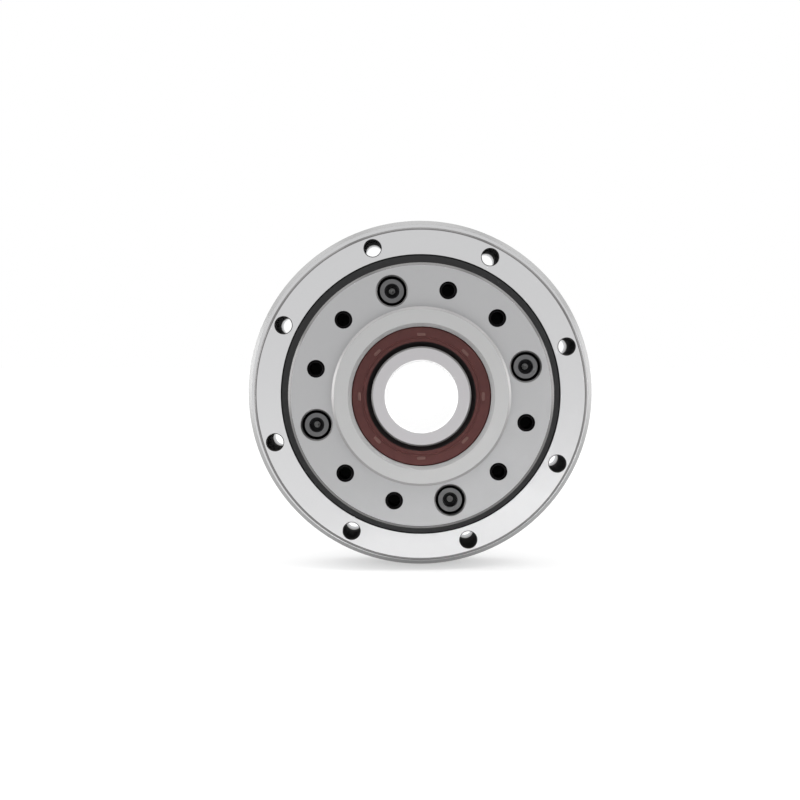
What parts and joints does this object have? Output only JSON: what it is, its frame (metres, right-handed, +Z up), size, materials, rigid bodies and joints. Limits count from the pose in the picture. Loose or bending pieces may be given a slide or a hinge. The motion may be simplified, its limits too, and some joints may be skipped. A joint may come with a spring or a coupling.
{
  "type": "strain wave gearbox",
  "caption": "Hollow-shaft strain wave gearbox: flanged steel outer ring, raised output flange with tapped holes and pilot boss, brown shaft seal, open through bore.",
  "frame": {"origin": "on the gear axis, in the front face of the outer ring, at the centre of the mounting hole circle", "axes": "Y is the gear axis with the output end towards -Y and the input end towards +Y, +Z is up as in the picture"},
  "size_m": [0.074, 0.0525, 0.074],
  "materials": {
    "ground_ring_steel": "fine turned and ground steel",
    "ground_flange_steel": "fine turned and ground steel",
    "ground_shaft_steel": "ground steel",
    "gear_steel": "cut and shot peened steel",
    "bearing_steel": "polished bearing steel",
    "turned_aluminium": "fine turned aluminium",
    "black_oxide_steel": "black oxide on steel",
    "spring_steel": "oiled spring steel",
    "brown_fluoroelastomer": "moulded, satin",
    "black_nitrile": "moulded, satin",
    "cage_polyamide": "moulded polyamide"
  },
  "bodies": {
    "housing": {"outer_ring": "ground_ring_steel", "roller_loading_plug": "ground_ring_steel", "loading_plug_pin": "bearing_steel", "ring_dust_seal": "black_nitrile", "flexspline": "gear_steel", "input_cover": "turned_aluminium", "cover_screws": "black_oxide_steel", "brim_front_o_ring": "black_nitrile", "brim_rear_o_ring": "black_nitrile", "rear_bearing_outer_race": "bearing_steel", "rear_oil_seal": "brown_fluoroelastomer", "rear_seal_case": "spring_steel", "rear_seal_spring": "spring_steel"},
    "output": {"output_flange": "ground_flange_steel", "output_screws": "black_oxide_steel", "circular_spline": "gear_steel", "front_bearing_outer_race": "bearing_steel", "front_oil_seal": "brown_fluoroelastomer", "front_seal_case": "spring_steel", "front_seal_spring": "spring_steel"},
    "input": {"input_shaft": "ground_shaft_steel", "front_circlip": "spring_steel", "rear_circlip": "spring_steel", "flex_inner_race": "bearing_steel", "flex_outer_race": "bearing_steel", "flex_balls": "bearing_steel", "flex_cage": "cage_polyamide", "front_bearing_inner_race": "bearing_steel", "rear_bearing_inner_race": "bearing_steel"},
    "roller_set": {"crossed_rollers": "bearing_steel", "roller_spacers": "cage_polyamide"},
    "front_ball_set": {"front_bearing_balls": "bearing_steel", "front_bearing_cage": "cage_polyamide"},
    "rear_ball_set": {"rear_bearing_balls": "bearing_steel", "rear_bearing_cage": "cage_polyamide"}
  },
  "joints": [
    {"name": "output_spin", "type": "hinge", "parent": "housing", "child": "output", "pos_m": [0, 0, 0], "axis": [0, -1, 0], "continuous": true},
    {"name": "input_spin", "type": "hinge", "parent": "housing", "child": "input", "pos_m": [0, 0, 0], "axis": [0, -1, 0], "continuous": true, "deforming": ["flexspline"]},
    {"name": "roller_orbit", "type": "hinge", "parent": "housing", "child": "roller_set", "pos_m": [0, 0, 0], "axis": [0, -1, 0], "continuous": true},
    {"name": "front_ball_orbit", "type": "hinge", "parent": "housing", "child": "front_ball_set", "pos_m": [0, 0, 0], "axis": [0, -1, 0], "continuous": true},
    {"name": "rear_ball_orbit", "type": "hinge", "parent": "housing", "child": "rear_ball_set", "pos_m": [0, 0, 0], "axis": [0, -1, 0], "continuous": true}
  ],
  "couplings": [
    {"joint": "input_spin", "follows": "output_spin", "ratio": 51},
    {"joint": "roller_orbit", "follows": "output_spin", "ratio": 0.48378},
    {"joint": "front_ball_orbit", "follows": "output_spin", "ratio": 22.635},
    {"joint": "rear_ball_orbit", "follows": "output_spin", "ratio": 22.067}
  ]
}
